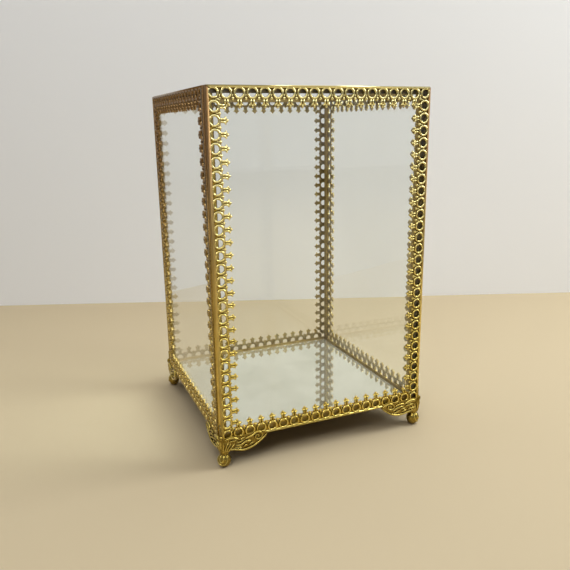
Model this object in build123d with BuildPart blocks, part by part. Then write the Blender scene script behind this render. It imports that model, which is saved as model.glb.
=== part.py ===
"""Open-topped glass box: four walls of glass in mitred gallery strips, a mirrored floor and four corner feet.

Millimetres. The origin is on the floor under the middle of the box, +X to the right along the front,
+Y to the back and +Z up.
"""

import os

from build123d import *

# Outside of the four joined walls
FRAME_WIDTH = 88.9
FRAME_DEPTH = 88.9
FRAME_HEIGHT = 130.0

# U-channel of a gallery strip and the glass that it holds
SHEET = 0.45
GLASS_THICKNESS = 2.0
GLASS_FACE_PLAY = 0.05
GLASS_EDGE_PLAY = 0.1
LIP_HEIGHT = 2.6
MITRE_GAP = 0.5

# Pierced fringe on the channel's outer leg, from its edge inward
RING_SPACING = 4.65
RING_MARGIN = 0.95
RING_HOLE_DIAMETER = 3.2
RING_BRIDGE = 0.6
EYELET_DIAMETER = 0.55
EYELET_DROP = 0.55
EYELET_OFFSET = 0.8
BUD_WIDTH = 1.3
BUD_LENGTH = 0.4
STEM_WIDTH = 1.5
STEM_LENGTH = 1.35
BARB_WIDTH = 2.4
BARB_RISE = 0.4
TIP_RISE = 1.3

# Floor of the box
BASE_SHEET = 0.5
BASE_INSET = 0.6
MIRROR_THICKNESS = 1.8
MIRROR_PLAY = 0.4
MIRROR_ARRIS = 0.4

# Leg of a corner foot, from the floor up
BALL_PAD_DIAMETER = 1.8
BALL_DIAMETER = 5.8
NECK_DIAMETER = 3.0
KNEE_HEIGHT = 5.55
KNEE_DIAMETER = 4.4
KNEE_DROP = 2.0
LEG_INSET = 1.4

# Wings of a corner foot, with reaches from the corner outward and heights from the walls' underside
WING_THICKNESS = 0.7
CORNER_RADIUS = 0.6
LOBE_WIDTH = 1.0
LOBE_HEIGHT = 2.2
NOTCH_HEIGHT = 0.5
HUMP_REACH = 3.2
HUMP_HEIGHT = 1.1
DIP_REACH = 5.2
DIP_HEIGHT = -0.1
SCROLL_REACH = 5.0
SCROLL_DIAMETER = 3.2
SCROLL_EYE_DIAMETER = 1.2
SCROLL_RELIEF = 0.45
WINGTIP_REACH = 4.2
APRON_CORNER_DROP = 3.4
APRON_KNEE_DROP = 4.6
APRON_BELLY_DROP = 5.3
APRON_FLANK_DROP = 3.8

# Thin collar that wraps the walls' corner above a foot
COLLAR_SHEET = 0.3
COLLAR_WIDTH = 1.3
COLLAR_HEIGHT = 6.5

# Channel and fringe heights that follow from the sizes above
channel_width = GLASS_THICKNESS + 2 * (GLASS_FACE_PLAY + SHEET)
side_length = FRAME_DEPTH - 2 * channel_width
ring_height = RING_MARGIN + RING_HOLE_DIAMETER / 2
valley_height = RING_MARGIN + RING_HOLE_DIAMETER + RING_BRIDGE
stem_height = valley_height + STEM_LENGTH
barb_height = stem_height + BARB_RISE
tip_height = barb_height + TIP_RISE

# Levels above the floor
ball_height = ((BALL_DIAMETER / 2) ** 2 - (BALL_PAD_DIAMETER / 2) ** 2) ** 0.5
neck_height = ball_height + ((BALL_DIAMETER / 2) ** 2 - (NECK_DIAMETER / 2) ** 2) ** 0.5
base_height = neck_height + KNEE_HEIGHT
frame_bottom = base_height + BASE_SHEET
frame_middle = frame_bottom + FRAME_HEIGHT / 2


def fringe_outline(length, count):
    """Corner points of the outer leg, along its edge and back over the row of tips and buds."""
    pitch = length / count
    points = [(-length / 2, 0), (length / 2, 0), (length / 2, valley_height)]
    for ring in reversed(range(count)):
        middle = (ring + 0.5) * pitch - length / 2
        points += [
            (middle + STEM_WIDTH / 2, valley_height),
            (middle + STEM_WIDTH / 2, stem_height),
            (middle + BARB_WIDTH / 2, barb_height),
            (middle, tip_height),
            (middle - BARB_WIDTH / 2, barb_height),
            (middle - STEM_WIDTH / 2, stem_height),
            (middle - STEM_WIDTH / 2, valley_height),
        ]
        if ring > 0:
            between = middle - pitch / 2
            points += [
                (between + BUD_WIDTH / 2, valley_height),
                (between, valley_height + BUD_LENGTH),
                (between - BUD_WIDTH / 2, valley_height),
            ]
    return points + [(-length / 2, valley_height)]


def gallery_strip(length):
    """One mitred channel, its outer face on XY, its length along X and its legs reaching towards +Y."""
    count = round(length / RING_SPACING)
    pitch = length / count
    eyelet_height = valley_height - EYELET_DROP
    with BuildPart() as strip:
        with BuildSketch():
            with BuildLine():
                Polyline(*fringe_outline(length, count), close=True)
            make_face()
            with Locations((0, ring_height)):
                with GridLocations(pitch, 0, count, 1):
                    Circle(RING_HOLE_DIAMETER / 2, mode=Mode.SUBTRACT)
            with Locations((-EYELET_OFFSET, eyelet_height), (EYELET_OFFSET, eyelet_height)):
                with GridLocations(pitch, 0, count - 1, 1):
                    Circle(EYELET_DIAMETER / 2, mode=Mode.SUBTRACT)
        extrude(amount=-SHEET)
        with BuildSketch():
            Rectangle(length, SHEET, align=(Align.CENTER, Align.MIN))
        extrude(amount=-channel_width)
        with BuildSketch(Plane.XY.offset(SHEET - channel_width)):
            Rectangle(length, LIP_HEIGHT, align=(Align.CENTER, Align.MIN))
        extrude(amount=-SHEET)
        with BuildSketch():
            Trapezoid(length - MITRE_GAP, tip_height, 45, align=(Align.CENTER, Align.MIN))
        extrude(amount=-channel_width, mode=Mode.INTERSECT)
    return strip.part


def glass_pane(wall, length):
    """A wall's glass, standing on the bottom strip's web with play at its sides and top."""
    width = length - 2 * (SHEET + GLASS_EDGE_PLAY)
    height = FRAME_HEIGHT - 2 * SHEET - GLASS_EDGE_PLAY
    with BuildPart() as pane:
        with BuildSketch(wall.offset(-SHEET - GLASS_FACE_PLAY)):
            with Locations((0, SHEET - FRAME_HEIGHT / 2)):
                Rectangle(width, height, align=(Align.CENTER, Align.MIN))
        extrude(amount=-GLASS_THICKNESS)
    return pane.part


def corner_foot():
    """The front left foot: two scrolled wings and a thin collar on the walls' corner, a knee and a ball."""
    face = Plane((-FRAME_WIDTH / 2, -FRAME_DEPTH / 2, frame_bottom), (1, 0, 0), (0, -1, 0))
    diagonal = Plane(face.origin, (1, 1, 0), (1, -1, 0))
    leg_x = LEG_INSET - FRAME_WIDTH / 2
    leg_y = LEG_INSET - FRAME_DEPTH / 2
    hump_place = LOBE_WIDTH + HUMP_REACH
    dip_place = hump_place + DIP_REACH
    scroll_place = dip_place + SCROLL_REACH
    wing_length = scroll_place + WINGTIP_REACH
    with BuildPart() as foot:
        with BuildSketch(face):
            with BuildLine():
                Polyline(
                    (hump_place, -APRON_KNEE_DROP),
                    (-WING_THICKNESS, -APRON_CORNER_DROP),
                    (-WING_THICKNESS, LOBE_HEIGHT),
                    (LOBE_WIDTH, LOBE_HEIGHT),
                    (LOBE_WIDTH, NOTCH_HEIGHT),
                )
                Spline(
                    (LOBE_WIDTH, NOTCH_HEIGHT),
                    (hump_place, HUMP_HEIGHT),
                    (dip_place, DIP_HEIGHT),
                    (scroll_place, SCROLL_DIAMETER / 2),
                    (wing_length, 0),
                )
                Spline(
                    (wing_length, 0),
                    (scroll_place, -APRON_FLANK_DROP),
                    (dip_place, -APRON_BELLY_DROP),
                    (hump_place, -APRON_KNEE_DROP),
                )
            make_face()
        extrude(amount=WING_THICKNESS)
        with BuildSketch(face.offset(WING_THICKNESS)):
            with Locations((scroll_place, 0)):
                Circle(SCROLL_DIAMETER / 2)
                Circle(SCROLL_EYE_DIAMETER / 2, mode=Mode.SUBTRACT)
        extrude(amount=SCROLL_RELIEF)
        with BuildSketch(face):
            with Locations((-COLLAR_SHEET, 0)):
                Rectangle(COLLAR_SHEET + COLLAR_WIDTH, COLLAR_HEIGHT, align=Align.MIN)
        extrude(amount=COLLAR_SHEET)
        mirror(about=diagonal)
        corner = foot.edges().filter_by(Axis.Z).sort_by(Axis((0, 0, 0), (1, 1, 0)))[0]
        fillet(corner, CORNER_RADIUS)
        with BuildSketch(Plane((leg_x, leg_y, 0), (1, 0, 0), (0, -1, 0))):
            with BuildLine():
                ThreePointArc(
                    (BALL_PAD_DIAMETER / 2, 0),
                    (BALL_DIAMETER / 2, ball_height),
                    (NECK_DIAMETER / 2, neck_height),
                )
                Spline(
                    (NECK_DIAMETER / 2, neck_height),
                    (KNEE_DIAMETER / 2, base_height - KNEE_DROP),
                    (LEG_INSET + WING_THICKNESS, base_height),
                )
                Polyline(
                    (LEG_INSET + WING_THICKNESS, base_height),
                    (0, base_height),
                    (0, 0),
                    (BALL_PAD_DIAMETER / 2, 0),
                )
            make_face()
        revolve(axis=Axis((leg_x, leg_y, 0), (0, 0, 1)))
    return foot.part


def keep(part, name):
    """Label a finished piece and write it to its own file."""
    part.label = name
    export_step(part, f"parts/{name}.step")


os.makedirs("parts", exist_ok=True)

# Outer face of each wall, with its X to the right as seen from outside, and its level strips
wide_strip = gallery_strip(FRAME_WIDTH)
side_strip = gallery_strip(side_length)
upright_strip = gallery_strip(FRAME_HEIGHT)
walls = [
    ("front", Plane((0, -FRAME_DEPTH / 2, frame_middle), (1, 0, 0), (0, -1, 0)), FRAME_WIDTH, wide_strip),
    ("back", Plane((0, FRAME_DEPTH / 2, frame_middle), (-1, 0, 0), (0, 1, 0)), FRAME_WIDTH, wide_strip),
    ("left", Plane((-FRAME_WIDTH / 2, 0, frame_middle), (0, -1, 0), (-1, 0, 0)), side_length, side_strip),
    ("right", Plane((FRAME_WIDTH / 2, 0, frame_middle), (0, 1, 0), (1, 0, 0)), side_length, side_strip),
]
for wall_name, wall, wall_length, level_strip in walls:
    strips = [
        ("bottom", 0, level_strip, FRAME_HEIGHT),
        ("right", 90, upright_strip, wall_length),
        ("top", 180, level_strip, FRAME_HEIGHT),
        ("left", 270, upright_strip, wall_length),
    ]
    for edge_name, turn, blank, across in strips:
        with BuildPart() as strip:
            with Locations(wall.location * Rot(0, 0, turn) * Pos(0, -across / 2, 0)):
                add(blank, clean=False)
        keep(strip.part, f"{wall_name}_{edge_name}_strip")
    keep(glass_pane(wall, wall_length), f"{wall_name}_glass")

with BuildPart() as base_plate:
    with BuildSketch(Plane.XY.offset(base_height)):
        Rectangle(FRAME_WIDTH - 2 * BASE_INSET, FRAME_DEPTH - 2 * BASE_INSET)
    extrude(amount=BASE_SHEET)
keep(base_plate.part, "base_plate")

mirror_margin = channel_width + MIRROR_PLAY
with BuildPart() as mirror_plate:
    with BuildSketch(Plane.XY.offset(frame_bottom)):
        Rectangle(FRAME_WIDTH - 2 * mirror_margin, FRAME_DEPTH - 2 * mirror_margin)
    extrude(amount=MIRROR_THICKNESS)
    chamfer(mirror_plate.faces().sort_by(Axis.Z)[-1].edges(), MIRROR_ARRIS)
keep(mirror_plate.part, "mirror_plate")

front_left = corner_foot()
front_right = front_left.mirror(Plane.YZ)
keep(front_left, "front_left_foot")
keep(front_right, "front_right_foot")
keep(front_left.mirror(Plane.XZ), "back_left_foot")
keep(front_right.mirror(Plane.XZ), "back_right_foot")
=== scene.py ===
import math

import bmesh
import bpy
from mathutils import Matrix, Vector


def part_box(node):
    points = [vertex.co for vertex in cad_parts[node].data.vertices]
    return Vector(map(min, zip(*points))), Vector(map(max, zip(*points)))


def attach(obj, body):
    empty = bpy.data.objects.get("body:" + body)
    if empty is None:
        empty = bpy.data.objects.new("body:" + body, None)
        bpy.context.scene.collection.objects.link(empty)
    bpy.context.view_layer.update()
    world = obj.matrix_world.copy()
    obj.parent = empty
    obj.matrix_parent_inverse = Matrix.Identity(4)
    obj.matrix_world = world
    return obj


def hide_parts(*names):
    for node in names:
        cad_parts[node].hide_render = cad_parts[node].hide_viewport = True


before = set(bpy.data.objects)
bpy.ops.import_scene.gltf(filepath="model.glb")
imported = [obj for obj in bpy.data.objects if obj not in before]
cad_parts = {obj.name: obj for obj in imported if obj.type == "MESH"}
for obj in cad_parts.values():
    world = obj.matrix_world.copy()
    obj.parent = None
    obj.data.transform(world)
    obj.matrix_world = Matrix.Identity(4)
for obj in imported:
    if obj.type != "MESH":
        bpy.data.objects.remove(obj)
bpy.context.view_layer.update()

MM = 0.001

# Photograph's viewpoint
CAMERA_PLACE = (-0.10308, -0.25085, 0.12798)
CAMERA_HEADING = math.radians(22.61)
CAMERA_PITCH = math.radians(14.54)
CAMERA_ROLL = math.radians(-0.9)
CAMERA_LENS = 38.99
CAMERA_SENSOR = 36.0
CAMERA_NEAR = 0.01

# Stamped fringe of a gallery strip in millimetres, along the strip, inward from its edge and outward.
# The rim's profile starts at the ring's centre and the rail's at the strip's edge.
RING_SPACING = 4.65
RING_CENTRE = 2.55
RIM_PROFILE = [(1.36, -0.12), (1.42, 0.38), (1.68, 0.6), (2.0, 0.56), (2.3, 0.05)]
RIM_STEPS = 16
RAIL_PROFILE = [(0.02, -0.12), (0.1, 0.34), (0.4, 0.56), (0.8, 0.58), (1.08, 0.3), (1.2, -0.12)]
STEM_OFFSET = 0.46
STEM_START = 4.4
STEM_END = 6.75
STEM_LEVEL = 0.1
STEM_RADIUS = 0.4
BARB_PLACE = (0.92, 6.45, 0.08)
BARB_RADII = (0.62, 0.34, 0.4)
BARB_TURN = math.radians(40)
TIP_PLACE = (0.0, 7.0, 0.05)
TIP_RADII = (0.5, 0.78, 0.42)
BUD_ROD_START = (0.0, 3.0, 0.1)
BUD_ROD_END = (0.0, 4.45, 0.1)
BUD_ROD_RADIUS = 0.28
BUD_PLACE = (0.0, 4.45, 0.06)
BUD_RADII = (0.6, 0.66, 0.42)
BEAD_SIDES = 6
MITRE_GAP = 0.5

# Corner foot in millimetres, from the walls' corner along a wall, up from their underside and outward
WING_THICKNESS = 0.64
WING_ROUNDING = 0.28
WING_CORNER = [(-0.64, -3.2), (-0.64, 1.1), (1.0, 1.2)]
WING_EDGE = [
    (2.4, 1.5), (4.2, 1.65), (6.6, 1.4), (9.4, 1.25), (11.8, 1.4), (14.4, 1.95), (16.9, 1.35), (18.6, 0.3),
    (17.0, -1.7), (14.4, -3.7), (11.8, -4.8), (9.4, -5.2), (6.5, -4.8), (4.2, -4.3), (2.9, -4.7),
    (2.3, -5.4), (0.5, -5.4), (-0.2, -4.6),
]
COLLAR_SHEET = 0.3
COLLAR_WIDTH = 1.3
COLLAR_HEIGHT = 6.5
COLLAR_FOLD = 0.2
LOBE_PLACE = (-0.3, -0.3, 1.2)
LOBE_RADII = (0.85, 0.85, 1.2)
LOBE_SIDES = 14

# Leg of a corner foot in millimetres: the ball, and radius and height of the ankle and knee above it
LEG_INSET = 1.4
BALL_CENTRE = 2.82
BALL_RADIUS = 2.62
BALL_HALF_HEIGHT = 3.0
BALL_PAD_RADIUS = 0.9
BALL_STEPS = 12
ANKLE_RADIUS = 1.5
KNEE_LINE = [
    (1.48, 5.5), (1.54, 5.9), (1.7, 6.6), (1.9, 7.4), (2.04, 8.2), (2.1, 9.2), (2.1, 10.1), (2.05, 10.8),
]
LEG_STEPS = 32
MERGE_DISTANCE = 0.001

# Raised leaf and scroll lines on a wing that runs to the right from its corner: along, up and half width
RIGHT_WING_RIDGES = [
    [
        (1.4, 0.5, 0.25), (2.6, 0.95, 0.45), (3.8, 1.0, 0.5), (5.2, 0.7, 0.5), (6.4, 0.25, 0.4),
        (7.3, -0.4, 0.2),
    ],
    [(3.1, -0.5, 0.22), (4.4, -0.25, 0.42), (5.6, -0.3, 0.4), (6.5, -0.8, 0.2)],
    [(5.6, -1.2, 0.2), (6.7, -1.35, 0.4), (7.8, -1.1, 0.4), (8.8, -0.5, 0.2)],
    [
        (5.4, -2.2, 0.22), (6.6, -2.5, 0.46), (7.9, -2.4, 0.5), (9.0, -1.75, 0.5), (10.3, -1.4, 0.48),
        (11.5, -1.6, 0.22),
    ],
    [(7.5, -0.2, 0.2), (8.5, 0.15, 0.36), (9.3, 0.4, 0.2)],
    [
        (9.5, -0.3, 0.22), (10.8, 0.05, 0.42), (12.1, 0.4, 0.42), (13.0, 0.9, 0.42), (14.2, 1.4, 0.44),
        (15.6, 1.2, 0.44), (16.4, 0.2, 0.44), (16.0, -1.0, 0.42), (15.0, -1.6, 0.4), (13.9, -1.2, 0.38),
        (13.5, -0.3, 0.36), (14.0, 0.3, 0.34), (14.8, 0.1, 0.34), (14.8, -0.5, 0.42),
    ],
    [(5.1, -3.0, 0.22), (6.4, -3.3, 0.4), (7.7, -3.7, 0.22)],
    [(8.5, -3.7, 0.22), (9.5, -2.9, 0.44), (10.4, -3.3, 0.25)],
    [(10.8, -3.3, 0.22), (11.8, -2.7, 0.4), (12.8, -2.5, 0.22)],
    [
        (3.2, -3.7, 0.28), (5.0, -3.9, 0.44), (6.5, -4.3, 0.46), (7.8, -4.7, 0.48), (9.2, -4.8, 0.5),
        (10.6, -4.6, 0.48), (12.0, -4.2, 0.46), (13.4, -3.6, 0.44), (15.0, -2.7, 0.42), (16.5, -1.7, 0.38),
        (17.6, -0.8, 0.32), (18.3, 0.0, 0.2),
    ],
]

# The same on a wing that runs to the left
LEFT_WING_RIDGES = [
    [(1.5, 0.5, 0.35), (2.7, 0.65, 0.75), (4.1, 0.55, 0.9), (5.5, 0.25, 0.75), (6.9, -0.15, 0.3)],
    [(3.2, -0.9, 0.25), (4.5, -0.9, 0.44), (5.7, -1.0, 0.42), (6.7, -1.2, 0.22)],
    [(1.3, -2.9, 0.22), (2.8, -2.6, 0.4), (4.1, -2.6, 0.4), (5.3, -2.9, 0.22)],
    [(7.6, 0.1, 0.22), (8.7, 0.2, 0.4), (9.7, 0.2, 0.42), (10.7, -0.1, 0.42), (11.6, -0.5, 0.22)],
    [(7.8, -1.1, 0.22), (9.2, -1.0, 0.46), (10.6, -1.3, 0.5), (11.8, -1.85, 0.48), (13.1, -2.4, 0.22)],
    [(6.8, -2.1, 0.2), (8.0, -2.1, 0.4), (9.1, -2.1, 0.2)],
    [(9.2, -2.5, 0.22), (10.4, -2.9, 0.46), (11.6, -3.4, 0.42), (12.4, -3.7, 0.2)],
    [(6.3, -3.1, 0.22), (7.4, -3.2, 0.42), (8.4, -3.5, 0.22)],
    [
        (17.9, 0.3, 0.2), (16.6, 0.9, 0.4), (15.3, 1.2, 0.44), (13.9, 1.1, 0.44), (12.8, 0.4, 0.44),
        (12.4, -0.5, 0.42), (12.9, -1.3, 0.4), (14.0, -1.5, 0.4), (15.1, -1.0, 0.38), (15.3, -0.1, 0.36),
        (14.7, 0.4, 0.34), (14.0, 0.1, 0.34), (14.2, -0.4, 0.4),
    ],
    [
        (3.2, -3.7, 0.28), (5.2, -4.1, 0.44), (7.2, -4.5, 0.46), (9.4, -4.7, 0.48), (11.2, -4.5, 0.46),
        (12.8, -4.0, 0.44), (14.4, -3.2, 0.42), (15.9, -2.2, 0.4), (17.3, -1.1, 0.36), (18.3, 0.0, 0.2),
    ],
]
RIDGE_LEVEL = 0.84
RIDGE_RISE = 0.56

# Leaf veins from the ankle up on to a wing: along, inward from the wall's face, height and half width
KNEE_VEINS = [
    [
        (0.6, 0.2, 5.6, 0.2), (0.5, -0.2, 6.8, 0.34), (0.45, -0.6, 8.2, 0.4), (0.5, -0.62, 9.6, 0.38),
        (0.5, -0.55, 11.0, 0.2),
    ],
    [
        (1.1, -0.05, 5.5, 0.2), (1.15, -0.3, 6.7, 0.34), (1.4, -0.6, 8.2, 0.42), (1.9, -0.66, 9.6, 0.42),
        (2.8, -0.6, 10.8, 0.2),
    ],
    [
        (1.6, -0.05, 5.5, 0.2), (1.75, -0.3, 6.7, 0.34), (2.3, -0.6, 8.2, 0.42), (2.95, -0.66, 9.3, 0.42),
        (3.6, -0.6, 10.3, 0.2),
    ],
    [
        (2.1, 0.1, 5.5, 0.2), (2.4, -0.2, 6.5, 0.34), (3.0, -0.6, 7.6, 0.42), (4.0, -0.66, 8.6, 0.42),
        (5.0, -0.6, 9.8, 0.2),
    ],
]
CORNER_VEIN = [
    (0.35, 0.35, 5.6, 0.2), (0.1, 0.1, 7.0, 0.34), (-0.3, -0.3, 8.6, 0.42), (-0.46, -0.46, 10.2, 0.42),
    (-0.46, -0.46, 11.6, 0.24),
]

# Loops that hang over the ball: turn from the outer corner in degrees, height and half width
OUTER_CORNER = 225
BALL_LOOPS = [
    [
        (-14, 5.3, 0.2), (-20, 4.2, 0.32), (-14, 3.1, 0.36), (0, 2.6, 0.36),
        (14, 3.1, 0.36), (20, 4.2, 0.32), (14, 5.3, 0.2),
    ],
    [
        (-44, 5.3, 0.2), (-56, 4.0, 0.32), (-44, 2.6, 0.36), (-22, 1.65, 0.36), (0, 1.35, 0.36),
        (22, 1.65, 0.36), (44, 2.6, 0.36), (56, 4.0, 0.32), (44, 5.3, 0.2),
    ],
]
LOOP_SINK = 0.1

# Places of the finishes on a fringe and on a foot
RAIL_FINISH = 1
PLATE_FINISH = 0
RIDGE_FINISH = 1

# Gilt: size of its clouds and rubbing, and the spans in which these, the height (painted light and shade)
# and the creases (tarnish and painted shade) change it
CLOUD_SCALE = 210.0
CLOUD_DETAIL = 6.0
CLOUD_SPAN = (0.32, 0.58)
UPPER_SPAN = (0.25, 0.8)
# Painted shade: the brown that some gilts turn to towards the top
UPPER_SHADE_BROWN = (0.27, 0.16, 0.065)
CREASE_SAMPLES = 6
CREASE_REACH = 0.9 * MM
CREASE_SPAN = (0.32, 0.88)
RUB_SCALE = 1300.0
RUB_DETAIL = 4.0
RUB_SPAN = (0.3, 0.7)
DENT_STRENGTH = 0.15
DENT_DEPTH = 0.06 * MM

# Glass and mirror
GLASS_TINT = (0.98, 0.995, 0.985)
GLASS_SHADOW = (0.96, 0.975, 0.96)
GLASS_IOR = 1.5
WAVE_SCALE = 28.0
WAVE_DETAIL = 2.0
WAVE_STRENGTH = 0.05
WAVE_DEPTH = 0.2 * MM
SILVER_SHARE = 0.88
SILVER_TONES = [(0.745, 0.745, 0.63), (0.85, 0.845, 0.74)]
SILVER_SCALE = 60.0
SILVER_DETAIL = 8.0
SILVER_SPAN = (0.25, 0.6)
HAZE = (0.02, 0.055)
HAZE_SPAN = (0.35, 0.75)

# Stage in metres: half widths of its sheets, and place, size, power and colour of its lamps
FLOOR_COLOUR = (0.53, 0.435, 0.285)
FLOOR_ROUGHNESS = 0.85
FLOOR_HALF = (1.5, 1.5)
WALL_COLOUR = (0.94, 0.955, 0.98)
WALL_ROUGHNESS = 0.9
STAGE_SPECULAR = 0.2
BACKDROP_PLACE = (0.0703, 0.1656, 0.0)
BACKDROP_TURN = math.radians(-21.0)
BACKDROP_HALF = (1.2, 1.0)
SOFTBOXES = [
    ("right_softbox", (0.6, -0.15, 0.5), 0.4, 4.75, (0.94, 0.98, 1.0)),
    ("left_softbox", (-0.45, -0.5, 0.6), 0.2, 1.0, (1.0, 0.98, 0.95)),
    ("top_softbox", (0.0, -0.1, 0.7), 0.9, 4.05, (0.985, 0.99, 0.99)),
]
WORLD_FILL = 0.1
WORLD_SEEN = 0.36

# Walls, read from the frame
left_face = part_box("left_top_strip")[0][0]
right_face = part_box("right_top_strip")[1][0]
front_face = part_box("front_top_strip")[0][1]
back_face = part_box("back_top_strip")[1][1]
frame_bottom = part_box("front_bottom_strip")[0][2]
frame_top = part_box("front_top_strip")[1][2]
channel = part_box("front_top_strip")[1][1] - front_face
wall_middle = (frame_bottom + frame_top) / 2
wall_height = frame_top - frame_bottom
wide_length = right_face - left_face
side_length = back_face - front_face - 2 * channel


def new_material(name):
    """A material, its nodes, its call for links and its main shader."""
    material = bpy.data.materials.new(name)
    material.use_nodes = True
    nodes = material.node_tree.nodes
    return material, nodes, material.node_tree.links.new, nodes["Principled BSDF"]


def noise(nodes, link, place, scale, detail):
    """Noise at a place on the piece."""
    pattern = nodes.new("ShaderNodeTexNoise")
    pattern.inputs["Scale"].default_value = scale
    pattern.inputs["Detail"].default_value = detail
    link(place, pattern.inputs["Vector"])
    return pattern.outputs["Fac"]


def spread(nodes, link, value, span, result=(0.0, 1.0)):
    """A value spread from its span over the result's."""
    change = nodes.new("ShaderNodeMapRange")
    change.inputs["From Min"].default_value = span[0]
    change.inputs["From Max"].default_value = span[1]
    change.inputs["To Min"].default_value = result[0]
    change.inputs["To Max"].default_value = result[1]
    link(value, change.inputs["Value"])
    return change.outputs["Result"]


def two_tones(nodes, link, value, span, tones):
    """A colour that goes from one tone to another over a value's span."""
    ramp = nodes.new("ShaderNodeValToRGB")
    for end in (0, 1):
        ramp.color_ramp.elements[end].position = span[end]
        ramp.color_ramp.elements[end].color = (*tones[end], 1.0)
    link(value, ramp.inputs["Fac"])
    return ramp.outputs["Color"]


def bump(nodes, link, shader, height, strength, depth):
    """Fine dents or waves in a surface."""
    dents = nodes.new("ShaderNodeBump")
    dents.inputs["Strength"].default_value = strength
    dents.inputs["Distance"].default_value = depth
    link(height, dents.inputs["Height"])
    link(dents.outputs["Normal"], shader.inputs["Normal"])


def clear_where(nodes, link, shader, share, colour):
    """Makes a surface clear by a share, as for shadow rays or from behind."""
    clear = nodes.new("ShaderNodeBsdfTransparent")
    clear.inputs["Color"].default_value = (*colour, 1.0)
    mix = nodes.new("ShaderNodeMixShader")
    link(share, mix.inputs["Fac"])
    link(shader.outputs["BSDF"], mix.inputs[1])
    link(clear.outputs["BSDF"], mix.inputs[2])
    link(mix.outputs["Shader"], nodes["Material Output"].inputs["Surface"])


def gilt(name, pale, shade_and_tarnish, worn, polish, dull, painted_upper_tone=None, reach=None):
    """Gilt brass: pale metal that may change tone upwards as painted shade (browner) and painted highlight
    (paler), tarnish in clouds, tarnish and painted shade in creases, uneven polish.

    The upper tone may stop at a reach from the left wall's face.
    """
    material, nodes, link, shader = new_material(name)
    shader.inputs["Metallic"].default_value = 1.0
    place = nodes.new("ShaderNodeTexCoord").outputs["Object"]

    clouds = noise(nodes, link, place, CLOUD_SCALE, CLOUD_DETAIL)
    skin = two_tones(nodes, link, clouds, CLOUD_SPAN, (worn, pale))

    # Painted light and shade: with height the colour turns towards the painted upper tone, brown as painted
    # shade on most gilts and paler as a painted highlight on the bright gilt
    if painted_upper_tone:
        parts = nodes.new("ShaderNodeSeparateXYZ")
        link(place, parts.inputs["Vector"])
        heights = [frame_bottom + part * wall_height for part in UPPER_SPAN]
        share = spread(nodes, link, parts.outputs["Z"], heights)
        if reach:
            outside = spread(nodes, link, parts.outputs["X"], (left_face + reach, left_face))
            both = nodes.new("ShaderNodeMath")
            both.operation = "MULTIPLY"
            link(share, both.inputs[0])
            link(outside, both.inputs[1])
            share = both.outputs["Value"]
        painted_upper_mix = nodes.new("ShaderNodeMix")
        painted_upper_mix.data_type = "RGBA"
        painted_upper_mix.inputs["B"].default_value = (*painted_upper_tone, 1.0)
        link(share, painted_upper_mix.inputs["Factor"])
        link(skin, painted_upper_mix.inputs["A"])
        skin = painted_upper_mix.outputs["Result"]

    # Tarnish together with painted shade: ambient occlusion darkens the colour towards the
    # shade_and_tarnish tone in creases and hollows
    crease_shade = nodes.new("ShaderNodeAmbientOcclusion")
    crease_shade.samples = CREASE_SAMPLES
    crease_shade.only_local = True
    crease_shade.inputs["Distance"].default_value = CREASE_REACH
    colour = nodes.new("ShaderNodeMix")
    colour.data_type = "RGBA"
    colour.inputs["A"].default_value = (*shade_and_tarnish, 1.0)
    link(spread(nodes, link, crease_shade.outputs["AO"], CREASE_SPAN), colour.inputs["Factor"])
    link(skin, colour.inputs["B"])
    link(colour.outputs["Result"], shader.inputs["Base Color"])

    rub = noise(nodes, link, place, RUB_SCALE, RUB_DETAIL)
    link(spread(nodes, link, rub, RUB_SPAN, (polish, dull)), shader.inputs["Roughness"])
    bump(nodes, link, shader, rub, DENT_STRENGTH, DENT_DEPTH)
    return material


def clear_glass():
    """Old window glass, faintly grey green and slightly wavy, that lets the lamps through."""
    material, nodes, link, shader = new_material("clear_glass")
    shader.inputs["Base Color"].default_value = (*GLASS_TINT, 1.0)
    shader.inputs["Roughness"].default_value = 0.0
    shader.inputs["IOR"].default_value = GLASS_IOR
    shader.inputs["Transmission Weight"].default_value = 1.0
    place = nodes.new("ShaderNodeTexCoord").outputs["Object"]
    waves = noise(nodes, link, place, WAVE_SCALE, WAVE_DETAIL)
    bump(nodes, link, shader, waves, WAVE_STRENGTH, WAVE_DEPTH)
    path = nodes.new("ShaderNodeLightPath")
    clear_where(nodes, link, shader, path.outputs["Is Shadow Ray"], GLASS_SHADOW)
    return material


def silvered_mirror():
    """Silvered glass floor with a little dust, haze and clouding from age."""
    material, nodes, link, shader = new_material("silvered_mirror")
    shader.inputs["Metallic"].default_value = SILVER_SHARE
    place = nodes.new("ShaderNodeTexCoord").outputs["Object"]
    clouds = noise(nodes, link, place, SILVER_SCALE, SILVER_DETAIL)
    link(two_tones(nodes, link, clouds, SILVER_SPAN, SILVER_TONES), shader.inputs["Base Color"])
    link(spread(nodes, link, clouds, HAZE_SPAN, HAZE), shader.inputs["Roughness"])
    return material


def stage_cover(name, colour, roughness):
    """Matt cover of the floor or the backdrop, seen from its front only."""
    material, nodes, link, shader = new_material(name)
    shader.inputs["Base Color"].default_value = (*colour, 1.0)
    shader.inputs["Roughness"].default_value = roughness
    shader.inputs["Specular IOR Level"].default_value = STAGE_SPECULAR
    side = nodes.new("ShaderNodeNewGeometry")
    clear_where(nodes, link, shader, side.outputs["Backfacing"], (1.0, 1.0, 1.0))
    return material


def as_mesh(bm, name):
    """The mesh of a bmesh, which is then freed."""
    mesh = bpy.data.meshes.new(name)
    bm.to_mesh(mesh)
    bm.free()
    return mesh


def finished_piece(bm, name, *materials):
    """A smooth-shaded object at the origin from a bmesh, in the scene."""
    for face in bm.faces:
        face.smooth = True
    mesh = as_mesh(bm, name)
    for material in materials:
        mesh.materials.append(material)
    piece = bpy.data.objects.new(name, mesh)
    bpy.context.collection.objects.link(piece)
    return piece


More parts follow.
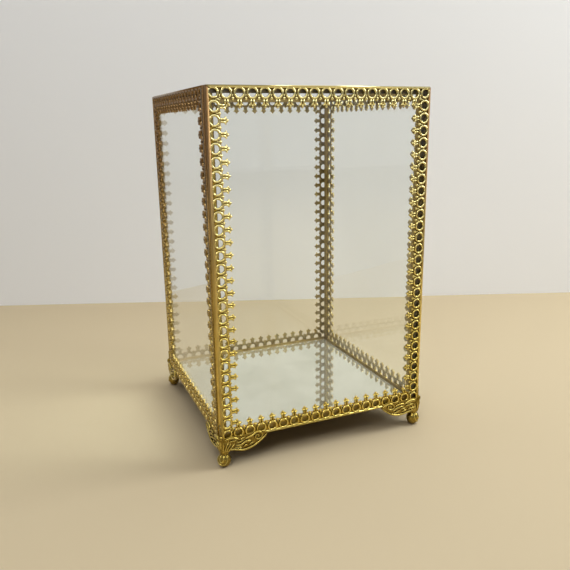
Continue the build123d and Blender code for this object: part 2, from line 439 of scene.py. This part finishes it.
def ellipsoid(bm, place, radii, turn=0.0, segments=BEAD_SIDES):
    """A small bead with its own half lengths, turned about the outward axis."""
    shape = Matrix.Translation(place) @ Matrix.Rotation(turn, 4, "Z") @ Matrix.Diagonal((*radii, 1.0))
    bmesh.ops.create_uvsphere(bm, u_segments=segments, v_segments=segments - 2, radius=1.0, matrix=shape)


def rod(bm, start, end, radius):
    """A round rod between two points."""
    start, end = Vector(start), Vector(end)
    aim = (end - start).to_track_quat("Z", "Y").to_matrix().to_4x4()
    bmesh.ops.create_cone(
        bm,
        cap_ends=True,
        segments=BEAD_SIDES,
        radius1=radius,
        radius2=radius,
        depth=(end - start).length,
        matrix=Matrix.Translation((start + end) / 2) @ aim,
    )


def ring_motif():
    """One ring of the fringe with its double stem, two barbs and tip, at the middle of a strip."""
    bm = bmesh.new()
    rim = [bm.verts.new((radius, RING_CENTRE, height)) for radius, height in RIM_PROFILE]
    edges = [bm.edges.new((a, b)) for a, b in zip(rim, rim[1:] + rim[:1])]
    bmesh.ops.spin(
        bm,
        geom=rim + edges,
        cent=(0.0, RING_CENTRE, 0.0),
        axis=(0.0, 0.0, 1.0),
        angle=2 * math.pi,
        steps=RIM_STEPS,
        use_merge=True,
    )
    along, inward, outward = BARB_PLACE
    for side in (-1, 1):
        stem = side * STEM_OFFSET
        rod(bm, (stem, STEM_START, STEM_LEVEL), (stem, STEM_END, STEM_LEVEL), STEM_RADIUS)
        ellipsoid(bm, (side * along, inward, outward), BARB_RADII, side * BARB_TURN)
    ellipsoid(bm, TIP_PLACE, TIP_RADII)
    bmesh.ops.recalc_face_normals(bm, faces=bm.faces)
    return bm


def bud_motif():
    """The short rod and bud that stand between two rings."""
    bm = bmesh.new()
    rod(bm, BUD_ROD_START, BUD_ROD_END, BUD_ROD_RADIUS)
    ellipsoid(bm, BUD_PLACE, BUD_RADII)
    return bm


def row_of(bm, motif, places):
    """Copies of a motif along a strip."""
    for place in places:
        copy = motif.copy()
        copy.transform(Matrix.Translation((place, 0.0, 0.0)))
        bm.from_mesh(copy)
        bpy.data.meshes.remove(copy)


def edge_rail(bm, length):
    """The rounded rail along a strip's outer edge."""
    start = [bm.verts.new((-length / 2, inward, height)) for inward, height in RAIL_PROFILE]
    edges = [bm.edges.new((a, b)) for a, b in zip(start, start[1:] + start[:1])]
    grown = bmesh.ops.extrude_edge_only(bm, edges=edges)["geom"]
    far = [v for v in grown if isinstance(v, bmesh.types.BMVert)]
    bmesh.ops.translate(bm, verts=far, vec=(length, 0.0, 0.0))
    for face in bm.faces:
        face.material_index = RAIL_FINISH


def mitre(bm, length):
    """Cuts both ends at 45 degrees and closes the cuts."""
    for side in (-1, 1):
        cut = bmesh.ops.bisect_plane(
            bm,
            geom=bm.verts[:] + bm.edges[:] + bm.faces[:],
            plane_co=(side * (length - MITRE_GAP) / 2, 0.0, 0.0),
            plane_no=(side, 1.0, 0.0),
            clear_outer=True,
        )
        edges = [e for e in cut["geom_cut"] if isinstance(e, bmesh.types.BMEdge)]
        bmesh.ops.holes_fill(bm, edges=edges)


def fringe(length, ring_mesh, bud_mesh):
    """The raised work of a strip: rail, rings with their stems, and buds, mitred at both ends."""
    count = round(length / RING_SPACING)
    pitch = length / count
    bm = bmesh.new()
    edge_rail(bm, length)
    row_of(bm, ring_mesh, [(i + 0.5) * pitch - length / 2 for i in range(count)])
    row_of(bm, bud_mesh, [i * pitch - length / 2 for i in range(1, count)])
    mitre(bm, length)
    bmesh.ops.recalc_face_normals(bm, faces=bm.faces)
    return bm


def add_fringes(bright, brown, post):
    """One fringe for each of the sixteen strips, browner on the left wall as painted shade, with their own
    upright rails.
    """
    ring_mesh = as_mesh(ring_motif(), "ring_motif")
    bud_mesh = as_mesh(bud_motif(), "bud_motif")
    walls = [
        ("front", (0.0, front_face, wall_middle), 0, wide_length),
        ("right", (right_face, 0.0, wall_middle), 90, side_length),
        ("back", (0.0, back_face, wall_middle), 180, wide_length),
        ("left", (left_face, 0.0, wall_middle), 270, side_length),
    ]
    for wall_name, centre, heading, wall_length in walls:
        wall = (
            Matrix.Translation(centre)
            @ Matrix.Rotation(math.radians(heading), 4, "Z")
            @ Matrix.Rotation(math.radians(90), 4, "X")
        )
        edges = [
            ("bottom", 0, wall_length, wall_height),
            ("right", 90, wall_height, wall_length),
            ("top", 180, wall_length, wall_height),
            ("left", 270, wall_height, wall_length),
        ]
        for edge_name, turn, length, across in edges:
            bm = fringe(length / MM, ring_mesh, bud_mesh)
            place = (
                wall
                @ Matrix.Rotation(math.radians(turn), 4, "Z")
                @ Matrix.Translation((0.0, -across / 2, 0.0))
                @ Matrix.Scale(MM, 4)
            )
            bmesh.ops.transform(bm, matrix=place, verts=bm.verts)
            # Painted shade: the left wall's fringes take the browner gilt
            work = brown if wall_name == "left" else bright
            rail = post if work is bright and edge_name in ("left", "right") else work
            piece = finished_piece(bm, f"{wall_name}_{edge_name}_fringe", work, rail)
            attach(piece, "root")
    bpy.data.meshes.remove(ring_mesh)
    bpy.data.meshes.remove(bud_mesh)


def curve_mesh(curve):
    """The mesh of a curve, which is then removed."""
    holder = bpy.data.objects.new(curve.name, curve)
    bpy.context.collection.objects.link(holder)
    graph = bpy.context.evaluated_depsgraph_get()
    mesh = bpy.data.meshes.new_from_object(holder.evaluated_get(graph))
    bpy.data.objects.remove(holder)
    bpy.data.curves.remove(curve)
    return mesh


def wing_plate():
    """Outline of a wing, as a plate with rounded edges."""
    curve = bpy.data.curves.new("wing_plate", "CURVE")
    curve.dimensions = "2D"
    curve.fill_mode = "BOTH"
    curve.extrude = WING_THICKNESS / 2 - WING_ROUNDING
    curve.bevel_depth = WING_ROUNDING
    curve.bevel_resolution = 3
    curve.offset = -WING_ROUNDING
    curve.resolution_u = 6
    outline = curve.splines.new("BEZIER")
    outline.use_cyclic_u = True
    outline.bezier_points.add(len(WING_CORNER) + len(WING_EDGE) - 1)
    for point, (along, up) in zip(outline.bezier_points, WING_CORNER + WING_EDGE):
        point.co = (along, up, 0.0)
        kind = "VECTOR" if (along, up) in WING_CORNER else "AUTO"
        point.handle_left_type = kind
        point.handle_right_type = kind
    return curve_mesh(curve)


def collar():
    """Thin sheet folded round the walls' corner above a foot."""
    bm = bmesh.new()
    outline = [
        (0.0, 0.0), (0.0, COLLAR_WIDTH), (-COLLAR_SHEET, COLLAR_WIDTH),
        (-COLLAR_SHEET, -COLLAR_SHEET), (COLLAR_WIDTH, -COLLAR_SHEET), (COLLAR_WIDTH, 0.0),
    ]
    foot = bm.faces.new([bm.verts.new((x, y, 0.0)) for x, y in outline])
    grown = bmesh.ops.extrude_face_region(bm, geom=[foot])["geom"]
    top = [v for v in grown if isinstance(v, bmesh.types.BMVert)]
    bmesh.ops.translate(bm, verts=top, vec=(0.0, 0.0, COLLAR_HEIGHT))
    fold = [e for e in bm.edges if all(v.co.x < 0.0 and v.co.y < 0.0 for v in e.verts)]
    bmesh.ops.bevel(
        bm, geom=fold, offset=COLLAR_FOLD, segments=3, profile=0.5, affect="EDGES", material=-1
    )
    return as_mesh(bm, "collar")


def ridge_lines(name, lines):
    """Tapered round ridges through points that carry their own half width."""
    curve = bpy.data.curves.new(name, "CURVE")
    curve.dimensions = "3D"
    curve.bevel_depth = 1.0
    curve.bevel_resolution = 1
    curve.resolution_u = 5
    curve.use_fill_caps = True
    for line in lines:
        ridge = curve.splines.new("BEZIER")
        ridge.bezier_points.add(len(line) - 1)
        for point, (x, y, z, half_width) in zip(ridge.bezier_points, line):
            point.co = (x, y, z)
            point.radius = half_width
            point.handle_left_type = "AUTO"
            point.handle_right_type = "AUTO"
    return curve_mesh(curve)


def on_ball(turn, height):
    """Place just under the ball's skin, or on the ankle above it, at a turn from the outer corner."""
    rise = (height - BALL_CENTRE) / BALL_HALF_HEIGHT
    radius = max(BALL_RADIUS * math.sqrt(max(1 - rise ** 2, 0.0)), ANKLE_RADIUS) - LOOP_SINK
    heading = math.radians(OUTER_CORNER + turn)
    return LEG_INSET + radius * math.cos(heading), LEG_INSET + radius * math.sin(heading), height


def add_mesh(bm, mesh, matrix, material_index):
    """Adds a mesh to a bmesh under a matrix, in one of its materials, and removes it."""
    mesh.transform(matrix)
    for face in mesh.polygons:
        face.material_index = material_index
    bm.from_mesh(mesh)
    bpy.data.meshes.remove(mesh)


def leg_profile():
    """Radius and height down one side of a leg: the ball's arc, the ankle and the knee."""
    low = -math.acos(BALL_PAD_RADIUS / BALL_RADIUS)
    high = math.acos(ANKLE_RADIUS / BALL_RADIUS)
    arc = [low + (high - low) * step / BALL_STEPS for step in range(BALL_STEPS + 1)]
    ball = [(BALL_RADIUS * math.cos(a), BALL_CENTRE + BALL_HALF_HEIGHT * math.sin(a)) for a in arc]
    return ball + KNEE_LINE


def turned_leg(bm):
    """Knee, ankle and ball, spun about the leg's axis."""
    side = leg_profile()
    profile = [(0.0, side[0][1]), *side, (0.0, side[-1][1])]
    chain = [bm.verts.new((LEG_INSET + radius, LEG_INSET, height)) for radius, height in profile]
    edges = [bm.edges.new((a, b)) for a, b in zip(chain, chain[1:])]
    bmesh.ops.spin(
        bm,
        geom=chain + edges,
        cent=(LEG_INSET, LEG_INSET, 0.0),
        axis=(0.0, 0.0, 1.0),
        angle=2 * math.pi,
        steps=LEG_STEPS,
        use_merge=True,
    )
    bmesh.ops.remove_doubles(bm, verts=bm.verts, dist=MERGE_DISTANCE)


def foot_casting():
    """The front left foot in millimetres, from the walls' corner inward and up from the floor."""
    underside = Matrix.Translation((0.0, 0.0, frame_bottom / MM))
    bm = bmesh.new()
    turned_leg(bm)
    ellipsoid(bm, underside @ Vector(LOBE_PLACE), LOBE_RADII, segments=LOBE_SIDES)
    add_mesh(bm, collar(), underside, PLATE_FINISH)
    loops = [[(*on_ball(turn, up), half_width) for turn, up, half_width in line] for line in BALL_LOOPS]
    add_mesh(bm, ridge_lines("ball_loops", loops), Matrix.Identity(4), RIDGE_FINISH)
    on_front = underside @ Matrix.Rotation(math.radians(90), 4, "X")
    half = Matrix.Translation((0.0, 0.0, WING_THICKNESS / 2))
    raised = Matrix.Translation((0.0, 0.0, RIDGE_LEVEL))
    stay = Matrix.Identity(4)
    mirrored = Matrix(((0, 1, 0, 0), (1, 0, 0, 0), (0, 0, 1, 0), (0, 0, 0, 1)))
    for turn, wing_ridges in ((stay, RIGHT_WING_RIDGES), (mirrored, LEFT_WING_RIDGES)):
        ridges = [
            [(along, up, min(RIDGE_RISE - half_width, 0.0), half_width) for along, up, half_width in line]
            for line in wing_ridges
        ]
        add_mesh(bm, wing_plate(), turn @ on_front @ half, PLATE_FINISH)
        add_mesh(bm, ridge_lines("wing_ridges", ridges), turn @ on_front @ raised, RIDGE_FINISH)
        add_mesh(bm, ridge_lines("knee_veins", KNEE_VEINS), turn, RIDGE_FINISH)
    add_mesh(bm, ridge_lines("corner_vein", [CORNER_VEIN]), stay, RIDGE_FINISH)
    return as_mesh(bm, "foot_casting")


def add_feet(plate, ridge):
    """The four feet, one casting turned to each corner."""
    casting = foot_casting()
    corners = [
        ("front_left_foot", left_face, front_face, 0),
        ("front_right_foot", right_face, front_face, 90),
        ("back_right_foot", right_face, back_face, 180),
        ("back_left_foot", left_face, back_face, 270),
    ]
    for node, x, y, turn in corners:
        bm = bmesh.new()
        bm.from_mesh(casting)
        place = (
            Matrix.Translation((x, y, 0.0))
            @ Matrix.Rotation(math.radians(turn), 4, "Z")
            @ Matrix.Scale(MM, 4)
        )
        bmesh.ops.transform(bm, matrix=place, verts=bm.verts)
        bmesh.ops.recalc_face_normals(bm, faces=bm.faces)
        piece = finished_piece(bm, f"{node}_casting", plate, ridge)
        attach(piece, "root")
        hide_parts(node)
    bpy.data.meshes.remove(casting)


def dress(nodes, material):
    """Gives CAD nodes their finish."""
    for node in nodes:
        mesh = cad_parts[node].data
        mesh.materials.clear()
        mesh.materials.append(material)


def stage_sheet(name, matrix, material):
    """A flat sheet of the stage, one metre half width before its matrix."""
    bm = bmesh.new()
    bmesh.ops.create_grid(bm, x_segments=1, y_segments=1, size=1.0, matrix=matrix)
    sheet = finished_piece(bm, name, material)


def softbox(name, place, size, power, colour):
    """A square soft lamp that looks at the middle of the box."""
    lamp = bpy.data.lights.new(name, "AREA")
    lamp.shape = "SQUARE"
    lamp.size = size
    lamp.energy = power
    lamp.color = colour
    holder = bpy.data.objects.new(name, lamp)
    holder.location = place
    aim = Vector((0.0, 0.0, wall_middle)) - Vector(place)
    holder.rotation_euler = aim.to_track_quat("-Z", "Y").to_euler()
    bpy.context.collection.objects.link(holder)


def add_camera():
    """The camera where the photograph was taken."""
    forward = Vector((
        math.sin(CAMERA_HEADING) * math.cos(CAMERA_PITCH),
        math.cos(CAMERA_HEADING) * math.cos(CAMERA_PITCH),
        -math.sin(CAMERA_PITCH),
    ))
    level = Vector((math.cos(CAMERA_HEADING), -math.sin(CAMERA_HEADING), 0.0))
    upright = level.cross(forward)
    right = math.cos(CAMERA_ROLL) * level + math.sin(CAMERA_ROLL) * upright
    up = math.cos(CAMERA_ROLL) * upright - math.sin(CAMERA_ROLL) * level
    data = bpy.data.cameras.new("camera")
    data.lens = CAMERA_LENS
    data.sensor_width = CAMERA_SENSOR
    data.clip_start = CAMERA_NEAR
    camera = bpy.data.objects.new("camera", data)
    turn = Matrix((right, up, -forward)).transposed().to_4x4()
    camera.matrix_world = Matrix.Translation(CAMERA_PLACE) @ turn
    bpy.context.collection.objects.link(camera)
    bpy.context.scene.camera = camera


def add_stage():
    """Cream floor and a pale wall behind the box."""
    floor = stage_cover("cream_floor", FLOOR_COLOUR, FLOOR_ROUGHNESS)
    wall = stage_cover("pale_wall", WALL_COLOUR, WALL_ROUGHNESS)
    stage_sheet("floor", Matrix.Diagonal((*FLOOR_HALF, 1.0, 1.0)), floor)
    behind = (
        Matrix.Translation(BACKDROP_PLACE)
        @ Matrix.Rotation(BACKDROP_TURN, 4, "Z")
        @ Matrix.Rotation(math.radians(90), 4, "X")
        @ Matrix.Diagonal((*BACKDROP_HALF, 1.0, 1.0))
    )
    stage_sheet("backdrop", behind, wall)


def add_light():
    """Soft lamps, and a white world that is a weak fill and stronger where it is seen or reflected."""
    for name, place, size, power, colour in SOFTBOXES:
        softbox(name, place, size, power, colour)
    world = bpy.data.worlds.new("studio")
    world.use_nodes = True
    nodes = world.node_tree.nodes
    link = world.node_tree.links.new
    sky = nodes["Background"]
    sky.inputs["Color"].default_value = (1.0, 1.0, 1.0, 1.0)
    path = nodes.new("ShaderNodeLightPath")
    through = nodes.new("ShaderNodeMath")
    through.operation = "MAXIMUM"
    link(path.outputs["Is Glossy Ray"], through.inputs[0])
    link(path.outputs["Is Transmission Ray"], through.inputs[1])
    seen = nodes.new("ShaderNodeMath")
    seen.operation = "MAXIMUM"
    link(path.outputs["Is Camera Ray"], seen.inputs[0])
    link(through.outputs["Value"], seen.inputs[1])
    level = spread(nodes, link, seen.outputs["Value"], (0.0, 1.0), (WORLD_FILL, WORLD_SEEN))
    link(level, sky.inputs["Strength"])
    bpy.context.scene.world = world
    bpy.context.scene.view_settings.view_transform = "Standard"


# Tarnish together with painted shade: the foot's plates are darker than its ridges, so that the grooves
# between ridges look shaded; the leaf gilt below is brighter as a painted highlight
aged_shaded_gilt = gilt(
    "aged_shaded_gilt",
    pale=(0.34, 0.24, 0.05),
    shade_and_tarnish=(0.1, 0.055, 0.01),
    worn=(0.23, 0.155, 0.025),
    polish=0.18,
    dull=0.34,
)
leaf_gilt = gilt(
    "leaf_gilt",
    pale=(0.63, 0.49, 0.125),
    shade_and_tarnish=(0.08, 0.045, 0.01),
    worn=(0.46, 0.34, 0.075),
    polish=0.12,
    dull=0.24,
)
# Painted shade: darker copy of the strips' gilt, so that the channels seen through the holes look shaded
shaded_dull_gilt = gilt(
    "shaded_dull_gilt",
    pale=(0.42, 0.31, 0.11),
    shade_and_tarnish=(0.12, 0.07, 0.02),
    worn=(0.3, 0.2, 0.06),
    polish=0.45,
    dull=0.62,
)
# Painted light: lighter copy of the strips' gilt for the front bottom strip, so that its channel seen
# through the holes looks lit
lit_satin_gilt = gilt(
    "lit_satin_gilt",
    pale=(0.7, 0.46, 0.065),
    shade_and_tarnish=(0.2, 0.11, 0.015),
    worn=(0.5, 0.32, 0.045),
    polish=0.5,
    dull=0.7,
)
# Painted shade: the corner post turns brown towards the top on the part nearest the left wall's face
corner_gilt = gilt(
    "corner_gilt",
    pale=(0.8, 0.58, 0.12),
    shade_and_tarnish=(0.2, 0.12, 0.02),
    worn=(0.62, 0.43, 0.08),
    polish=0.45,
    dull=0.65,
    painted_upper_tone=UPPER_SHADE_BROWN,
    reach=0.3 * MM,
)
# Painted highlight: the fringes turn paler towards the top
bright_gilt = gilt(
    "bright_gilt",
    pale=(0.8, 0.64, 0.18),
    shade_and_tarnish=(0.15, 0.09, 0.01),
    worn=(0.62, 0.47, 0.1),
    polish=0.08,
    dull=0.19,
    painted_upper_tone=(0.9, 0.8, 0.38),
)
# Painted shade: browner copy of the gilt for the left wall, which also turns darker towards the top
brown_gilt = gilt(
    "brown_gilt",
    pale=(0.6, 0.45, 0.15),
    shade_and_tarnish=(0.09, 0.045, 0.01),
    worn=(0.46, 0.33, 0.1),
    polish=0.2,
    dull=0.36,
    painted_upper_tone=UPPER_SHADE_BROWN,
)
# Painted shade: the upright rails turn brown towards the top
post_gilt = gilt(
    "post_gilt",
    pale=(0.97, 0.77, 0.27),
    shade_and_tarnish=(0.14, 0.07, 0.02),
    worn=(0.8, 0.6, 0.19),
    polish=0.34,
    dull=0.5,
    painted_upper_tone=UPPER_SHADE_BROWN,
)
floor_brass = gilt(
    "floor_brass",
    pale=(0.3, 0.23, 0.08),
    shade_and_tarnish=(0.1, 0.07, 0.02),
    worn=(0.2, 0.15, 0.05),
    polish=0.34,
    dull=0.5,
)

strips = [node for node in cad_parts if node.endswith("_strip")]
# Painted shade: the left wall's strips are dressed in the browner gilt
left_shade_strips = [node for node in strips if node.startswith("left_")]
panes = [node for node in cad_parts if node.endswith("_glass")]
dress(strips, shaded_dull_gilt)
dress(left_shade_strips, brown_gilt)
dress(["front_left_strip"], corner_gilt)
dress(["front_bottom_strip"], lit_satin_gilt)
dress(panes, clear_glass())
dress(["mirror_plate"], silvered_mirror())
dress(["base_plate"], floor_brass)
add_fringes(bright_gilt, brown_gilt, post_gilt)
add_feet(aged_shaded_gilt, leaf_gilt)
add_camera()
add_stage()
add_light()
